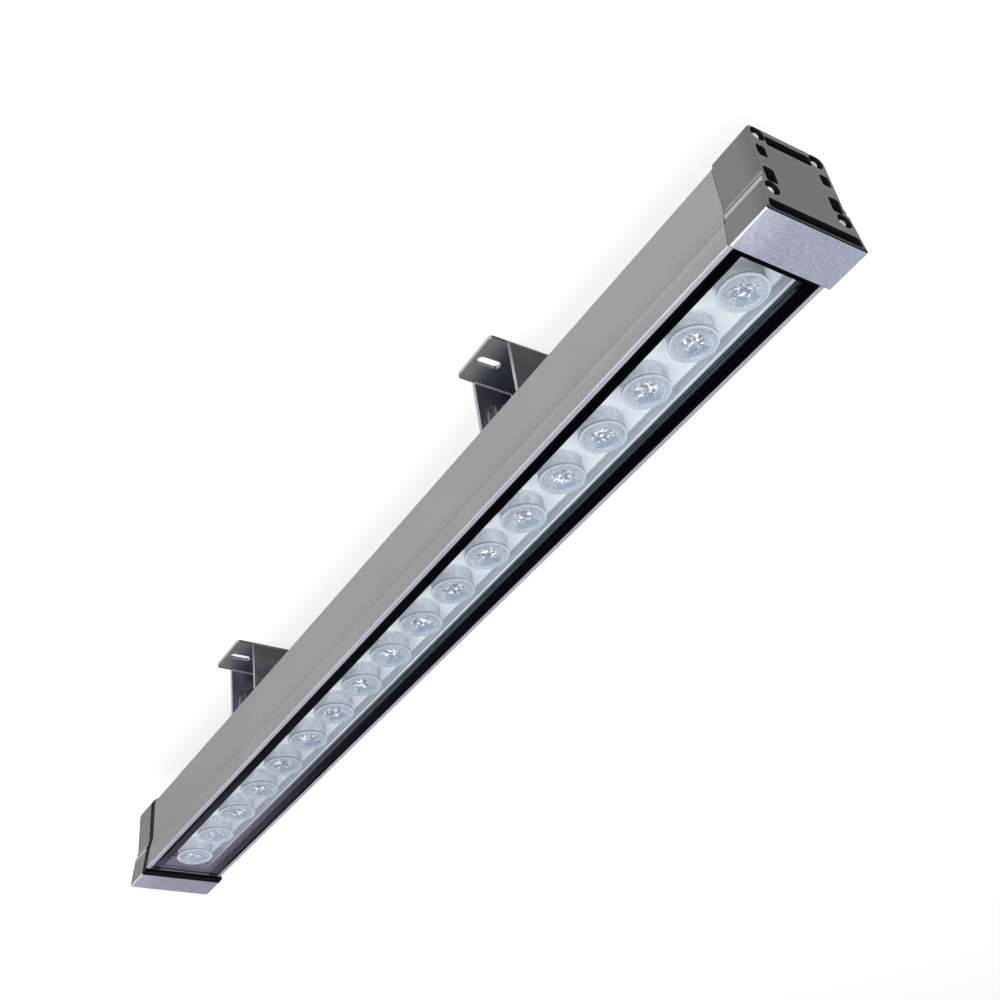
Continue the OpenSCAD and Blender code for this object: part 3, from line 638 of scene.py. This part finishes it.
def end_cap(name, replaced, side, sealed):
    """A cast cap; a sealed one has a strip of black sealant round its back edge."""
    cap = Cap(side)
    skin = cap.wall(cap_outline(), edge_round(FACE_ROUND, steps=4) + CAP_BACK)
    cap.fill(skin[-1:])
    cap.bm.normal_update()
    for f in cap.bm.faces:
        f.material_index = CAP_LOOKS.index(cap_finish(f, sealed))

    hollows = [(loop, POCKET_ROUND, POCKET_FOOT) for loop in pocket_loops()]
    for y, z in SCREWS:
        well = [Vector((y + u, z + v)) for u, v in circle(WELL_R, WELL_AROUND)]
        hollows.append((well, WELL_ROUND, WELL_FOOT))
    # Pockets and screw wells are near black: painted shade
    cap.look = HOLLOW
    front = skin[:1]
    for loop, radius, foot in hollows:
        lip = [(-inset, depth) for inset, depth in edge_round(radius, steps=3)]
        rings = cap.wall(loop, lip + foot)
        cap.fill(rings[-1:])
        front.append(rings[0])
    # The end face: darker metal, painted shade
    cap.look = PANEL
    cap.fill(front)
    bmesh.ops.remove_doubles(cap.bm, verts=cap.bm.verts, dist=WELD)
    bmesh.ops.recalc_face_normals(cap.bm, faces=cap.bm.faces)
    finished(cap.bm, name, "light", CAP_LOOKS, replaced, angle=30)


end_cap("end_cap_near", ("cap_near",), side=1, sealed=False)
end_cap("end_cap_far", ("cap_far",), side=-1, sealed=True)


# ------------------------------------------------------------------- screws
HEAD_R = 2.8
HEAD_H = 2.1
DOME_R = HEAD_R * 0.93
HEAD_RINGS = 16
HEAD_AROUND = 48
SHANK_R = 1.25
SHANK_LEN = 6.0
ARM_LEN = 0.9
ARM_WIDTH = 0.32
CROSS_DEPTH = 0.35


def fade(value, start, length):
    """1 up to start, then down to 0 over a length."""
    return max(0.0, 1 - max(0.0, value - start) / length)


def cross_depth(x, y):
    """How deep the cross recess is at a point of a screw's head."""
    def arm(u, v):
        return (fade(abs(v), ARM_WIDTH * 0.45, ARM_WIDTH * 0.55)
                * fade(abs(u), ARM_LEN * 0.75, ARM_LEN * 0.3))
    return CROSS_DEPTH * max(arm(x, y), arm(y, x))


def pan_head(bm, at):
    """A screw with a domed head and a cross recess; at(x, y, z) has z along it, outwards."""
    dome = (HEAD_R ** 2 + HEAD_H ** 2) / (2 * HEAD_H)
    rings = []
    for k in range(HEAD_RINGS + 1):
        r = DOME_R * (k / HEAD_RINGS) ** 0.9
        z = HEAD_H - dome + math.sqrt(dome ** 2 - r * r)
        points = circle(r, HEAD_AROUND if k else 1)
        rings.append([bm.verts.new(at(x, y, z - cross_depth(x, y))) for x, y in points])
    for r, z in ((HEAD_R * 0.985, HEAD_H * 0.16), (HEAD_R, HEAD_H * 0.08), (HEAD_R, 0.0),
                 (SHANK_R, 0.0), (SHANK_R, -SHANK_LEN)):
        rings.append([bm.verts.new(at(x, y, z)) for x, y in circle(r, HEAD_AROUND)])
    for a, b in zip(rings, rings[1:]):
        bridge(bm, a, b)
    bm.faces.new(rings[-1][::-1])


def cap_screws(name, node, outwards, seed):
    """A cap's screws, each left at a turn of its own."""
    bm = bmesh.new()
    rng = random.Random(seed)
    base = SHIFT + outwards * (HALF_LEN - WELL)
    for y, z in SCREWS:
        turn = rng.uniform(0, math.pi)
        ct, st = math.cos(turn), math.sin(turn)

        def at(u, v, w):
            return ((base + outwards * w) * MM, (y + ct * u - st * v) * MM,
                    (z + outwards * (st * u + ct * v)) * MM)
        pan_head(bm, at)
    finished(bm, name, "light", [BRIGHT], (node,))


cap_screws("screws_near", "cap_screws_near", outwards=1, seed=5)
cap_screws("screws_far", "cap_screws_far", outwards=-1, seed=9)


# ------------------------------------------------------------------- lenses
LENS_AROUND = 56
LENS_FOOT = BOARD_TOP + 0.6
HOLDER_TOP = LENS_TOP - 1.22
BOWL_DEPTH = 1.6

# Closed profiles of (radius, height): a lens from the middle of its bowl round to the dish under
# it, with heights from its top, and a holder with heights of its own
BOWL = [(0, -0.95), (0.6, -0.97), (1.2, -1.03), (1.8, -1.13), (2.4, -1.27), (3.0, -1.42),
        (3.6, -1.52), (4.2, -1.5), (4.8, -1.38), (5.4, -1.2), (6.0, -1.02), (6.6, -0.84),
        (7.2, -0.66), (7.8, -0.48), (8.2, -0.32), (8.5, -0.12), (8.8, -0.02), (9.1, 0.0),
        (10.3, 0.0), (10.45, -0.06), (10.5, -0.2)]
UNDER = [(10.5, -1.05), (10.35, -1.2), (8.7, -1.2), (8.45, -1.35), (7.7, -2.9), (6.6, -5.0)]
FOOT = [(4.6, LENS_FOOT + 0.1), (4.4, LENS_FOOT), (3.0, LENS_FOOT), (2.9, LENS_FOOT + 0.2)]
DISH = [(2.6, -2.9), (2.0, -2.4), (1.0, -2.2), (0, -2.15)]
HOLDER_SIDE = [(8.8, BOARD_TOP), (8.8, HOLDER_TOP - 0.2), (9.0, HOLDER_TOP), (9.8, HOLDER_TOP),
               (10.0, HOLDER_TOP - 0.2), (10.0, BOARD_TOP + 0.9), (10.2, BOARD_TOP + 0.7),
               (10.2, BOARD_TOP)]


def from_top(points):
    return [(r, LENS_TOP + z) for r, z in points]


def pebbles(x, y, r, z):
    """How far a lens is raised at a point of its bowl: crossed waves that fade outwards."""
    if z < LENS_TOP - BOWL_DEPTH or not 0.3 <= r <= 7.6:
        return 0
    a = math.cos(x * 2.3 + 0.5) * math.cos(y * 2.1)
    b = math.cos((x * 0.5 + y * 0.866) * 2.7 + 0.4)
    return 0.2 * (a + 0.7 * b) * min(1.0, (7.8 - r) / 2.5)


def lens_row(name, look, replaced, profile, raised=None):
    """The same profile turned about the upright axis of each lens."""
    bm = bmesh.new()
    for i in range(LENS_COUNT):
        middle = SHIFT + (i - (LENS_COUNT - 1) / 2) * LENS_PITCH
        rings = []
        for r, z in profile:
            points = circle(r, LENS_AROUND if r else 1)
            lifts = [raised(x, y, r, z) if raised else 0 for x, y in points]
            rings.append([bm.verts.new(((middle + x) * MM, y * MM, (z + lift) * MM))
                          for (x, y), lift in zip(points, lifts)])
        for a, b in zip(rings, rings[1:]):
            bridge(bm, a, b)
        if len(rings[0]) > 1:
            bridge(bm, rings[-1], rings[0])
    bmesh.ops.recalc_face_normals(bm, faces=bm.faces)
    finished(bm, name, "light", [look], replaced)


lens_row("lens_row", LENS, ("lenses",),
         from_top(BOWL + UNDER) + FOOT + from_top(DISH), pebbles)
lens_row("holder_row", HOLDER, ("lens_holders",), HOLDER_SIDE)


# ------------------------------------------------------------- other pieces
HARD_ANGLE = 35
FLAT_ANGLE = 2
LIP_DEPTH = 2.6
GROOVE_HALF = 0.36
OUTER_Y = 20.5
SQUEEZE_STEPS = 120
SQUEEZE_HEIGHT = 0.4


def near(value, level, within=0.1):
    return abs(value - level) < within


def softened(node, name, body, looks, width, segments=2, wanted=None, finish=None):
    """A node's own mesh with its hard edges rounded.

    wanted says which points' edges, and finish gives each face its look.
    """
    bm = bmesh.new()
    bm.from_mesh(nodes[node].data)
    bmesh.ops.remove_doubles(bm, verts=bm.verts, dist=WELD)
    bmesh.ops.dissolve_limit(bm, angle_limit=math.radians(FLAT_ANGLE), verts=bm.verts,
                             edges=bm.edges)
    edges = [e for e in bm.edges
             if len(e.link_faces) == 2 and e.calc_face_angle(0) > math.radians(HARD_ANGLE)]
    if wanted:
        edges = [e for e in edges if all(wanted(v.co / MM) for v in e.verts)]
    bmesh.ops.bevel(bm, geom=edges, offset=width * MM, offset_type="OFFSET", segments=segments,
                    profile=0.5, affect="EDGES", clamp_overlap=True)
    if finish:
        bm.normal_update()
        for f in bm.faces:
            f.material_index = looks.index(finish(f))
    return finished(bm, name, body, looks, (node,))


def sheet_finish(face):
    """Painted highlights on edges and bends, then the web's faces, the inner ones and the rest,
    each painted lit.
    """
    n = face.normal
    x = face.calc_center_median().x / MM
    centre = NEAR_X if x > 0 else FAR_X
    if abs(n.y) > 0.6 or abs(n.x) > 0.2 and n.z > 0.2 and abs(n.y) < 0.2:
        return EDGE
    if n.z > 0.9:
        return WEB
    return INNER if abs(n.x) > 0.9 and n.x * (x - centre) < 0 else SHEET


def at_lip(point):
    """Whether a point lies on the housing's lips or on the inner edge of a rail's top."""
    on_rail = near(point.z, RAIL_TOP, 0.05) and near(abs(point.y), RAIL_Y, 0.05)
    return point.z > WINDOW_H - LIP_DEPTH or on_rail


def housing_finish(face):
    """Lips and rails' edges with a painted highlight, rails' tops with painted shade, walls,
    groove, the rest.
    """
    middle = face.calc_center_median() / MM
    n = face.normal
    if middle.z > WINDOW_H - LIP_DEPTH - 0.6 and n.z > 0.25:
        return LIP
    if abs(middle.y) < RAIL_Y + 0.4 and near(middle.z, RAIL_TOP, 0.4) and 0.1 < n.z < 0.95:
        return LIP
    if near(middle.z, RAIL_TOP) and n.z > 0.95:
        return RAIL
    if near(abs(middle.y), RAIL_Y) and middle.z > BOARD_TOP - 4 and abs(n.y) > 0.9:
        return CHANNEL
    in_groove = near(WINDOW_H - middle.z, GROOVE, 1.2) and abs(middle.y) > 18
    if in_groove and n.z > 0.3 and abs(n.x) < 0.1:
        return GROOVED
    return ANODISED


def lift_groove(mesh):
    """Move the fine groove along both sides nearer the window, up the slope of the wall."""
    for v in mesh.vertices:
        if near(v.co.z / MM, WINDOW_H - GROOVE, GROOVE_HALF) and abs(v.co.y) / MM > OUTER_Y:
            out = math.copysign(GROOVE_LIFT * WALL_SLOPE, v.co.y)
            v.co += Vector((0, out, GROOVE_LIFT)) * MM


def seal_squeeze():
    """Sealant squeezed out along one side of the window, a little uneven."""
    bm = bmesh.new()
    bed = [(v.co / MM).x for v in nodes["glass_seal"].data.vertices
           if near(abs(v.co.y) / MM, RAIL_Y, 0.2)]
    first, length = min(bed), max(bed) - min(bed)
    for i in range(SQUEEZE_STEPS):
        start, end = (first + length * k / SQUEEZE_STEPS for k in (i, i + 1))
        for v in bmesh.ops.create_cube(bm, size=1)["verts"]:
            x = end if v.co.x > 0 else start
            inner = RAIL_Y - 0.8 - 0.06 * noise.noise(Vector((x * 0.15, 0, 0)))
            v.co = Vector((x, RAIL_Y + 0.05 if v.co.y > 0 else inner,
                           GLASS_UNDER - (0 if v.co.z > 0 else SQUEEZE_HEIGHT))) * MM
    bmesh.ops.remove_doubles(bm, verts=bm.verts, dist=WELD)
    bmesh.ops.recalc_face_normals(bm, faces=bm.faces)
    finished(bm, "seal_squeeze", "light", [BEAD], angle=32)


housing = softened("housing", "housing_body", "light", HOUSING_LOOKS, 0.35,
                   segments=3, wanted=at_lip, finish=housing_finish)
lift_groove(housing.data)
for end, gasket in (("near", SEAM), ("far", FAR_GASKET)):
    for node, width in (("yoke", 0.22), ("foot", 0.18)):
        softened(f"{node}_{end}", f"{node}_plate_{end}", f"{node}_{end}", SHEET_LOOKS, width,
                 finish=sheet_finish)
    for node, name, look, width, slot in (
            ("tilt_nuts", "tilt_nut_pair", OLIVE, 0.25, "passivated_steel"),
            ("tilt_washers", "tilt_washer_pair", OLIVE, 0.15, "passivated_steel"),
            ("clamp_nut", "clamp_nut_body", BRIGHT, 0.25, "stainless"),
            ("clamp_washer", "clamp_washer_disc", BRIGHT, 0.15, "stainless")):
        softened(f"{node}_{end}", f"{name}_{end}", f"foot_{end}", [look], width)
    softened(f"gasket_{end}", f"gasket_sheet_{end}", "light", [gasket], 0.2)
softened("gland_nut", "gland_cap", "light", [NICKEL], 0.3)
softened("gland_body", "gland_neck", "light", [NICKEL], 0.25)
seal_squeeze()

CAD_LOOKS = {
    "glass": GLASS, "glass_seal": BED, "light_board": BOARD, "heat_pad": PAD,
    "emitters": BASE, "driver": CASE, "board_leads": LEAD, "gland_seal": RUBBER,
    "clamp_bolt_near": BRIGHT, "clamp_bolt_far": BRIGHT,
    "tilt_bolts_near": SHEET, "tilt_bolts_far": SHEET,
}
for name, look in CAD_LOOKS.items():
    materials = nodes[name].data.materials
    materials.clear()
    materials.append(look.mat)


# -------------------------------------------------------------------- stage
FLOOR_R = 9.0
FLOOR_GLOW = 0.76
AIM = (0, 0, 0.05)

# What the part's metal reflects, by height above the horizon: pale low down, dark high up
BACKDROP = [(0.0, (0.66, 0.65, 0.69)), (0.3, (0.50, 0.48, 0.56)), (0.42, (0.42, 0.39, 0.50)),
            (0.46, (0.10, 0.095, 0.12)), (0.53, (0.035, 0.033, 0.045)),
            (0.62, (0.004, 0.004, 0.006))]


def floor():
    """A disc that glows where it is looked at or reflected, so that it shows nearly white."""
    bm = bmesh.new()
    bmesh.ops.create_circle(bm, cap_ends=True, radius=FLOOR_R, segments=96)
    mesh = bpy.data.meshes.new("floor")
    bm.to_mesh(mesh)
    bm.free()
    piece = bpy.data.objects.new("floor", mesh)
    bpy.context.scene.collection.objects.link(piece)
    look = Look("floor_white", (0.36, 0.36, 0.36), metallic=0, roughness=0.9, gloss=0.1)
    plain = look.bsdf.outputs["BSDF"]
    camera_ray, glossy, through = (look.node("LightPath", result=f"Is {kind} Ray")
                                   for kind in ("Camera", "Glossy", "Transmission"))
    seen = look.calc("MAXIMUM", look.calc("MAXIMUM", camera_ray, glossy), through)
    glow = look.node("Emission", {"Color": WHITE, "Strength": FLOOR_GLOW})
    lit = look.node("AddShader", {0: plain, 1: glow})
    look.shine(look.node("MixShader", {"Fac": seen, 1: plain, 2: lit}))
    mesh.materials.append(look.mat)


def studio():
    """The surroundings, which show the backdrop all round."""
    world = bpy.data.worlds.new("studio")
    bpy.context.scene.world = world
    world.use_nodes = True
    graph = Graph(world.node_tree)
    height = graph.part_of(graph.node("TexCoord", result="Generated"), "Z")
    back = graph.tree.nodes["Background"]
    graph.feed(back.inputs["Color"], graph.gradient(height, BACKDROP))
    graph.feed(back.inputs["Strength"], 1.0)


def lamp(name, at, size, power, color=WHITE, aim=AIM):
    """An area light that looks at the part: a disc, or a rectangle if size is a pair."""
    data = bpy.data.lights.new(name, "AREA")
    if isinstance(size, tuple):
        data.shape = "RECTANGLE"
        data.size, data.size_y = size
    else:
        data.shape = "DISK"
        data.size = size
    data.energy = power
    data.color = color
    piece = bpy.data.objects.new(name, data)
    piece.location = at
    piece.rotation_euler = (Vector(aim) - Vector(at)).to_track_quat("-Z", "Y").to_euler()
    bpy.context.scene.collection.objects.link(piece)


def camera():
    """The photo's camera, as fitted to it: where it stands, its right-hand side and its aim."""
    data = bpy.data.cameras.new("camera")
    data.sensor_fit = "HORIZONTAL"
    data.sensor_width = 36
    data.lens = 51.2
    data.clip_start = 0.01
    data.clip_end = 50
    piece = bpy.data.objects.new("camera", data)
    right = Vector((0.5333, -0.8355, 0.1322)).normalized()
    ahead = Vector((-0.6286, -0.496, -0.599))
    ahead = (ahead - right * ahead.dot(right)).normalized()
    turn = Matrix((right, right.cross(ahead), -ahead)).transposed()
    eye = Vector((0.5121, 0.3247, 0.4558))
    piece.matrix_world = Matrix.Translation(eye) @ turn.to_4x4()
    bpy.context.scene.collection.objects.link(piece)
    bpy.context.scene.camera = piece


floor()
studio()
lamp("top", (0.8, 0.7, 2.1), size=2.6, power=62, color=(0.975, 0.975, 1.0))
lamp("side", (0.75, 0.85, 0.27), size=0.5, power=2.2, color=(1.0, 1.0, 0.96), aim=(0.3, 0, 0.05))
lamp("strip", (-1.1, 1.4, 1.1), size=(2.4, 0.3), power=3.0, color=(0.94, 0.96, 1.0))
for spot in ((0.9, 1.2, 1.6), (-0.6, 0.9, 1.8), (0.2, -0.4, 2.1), (1.5, 0.5, 1.0)):
    lamp("spark", spot, size=0.08, power=2.0)
camera()

bpy.context.scene.view_settings.view_transform = "Standard"
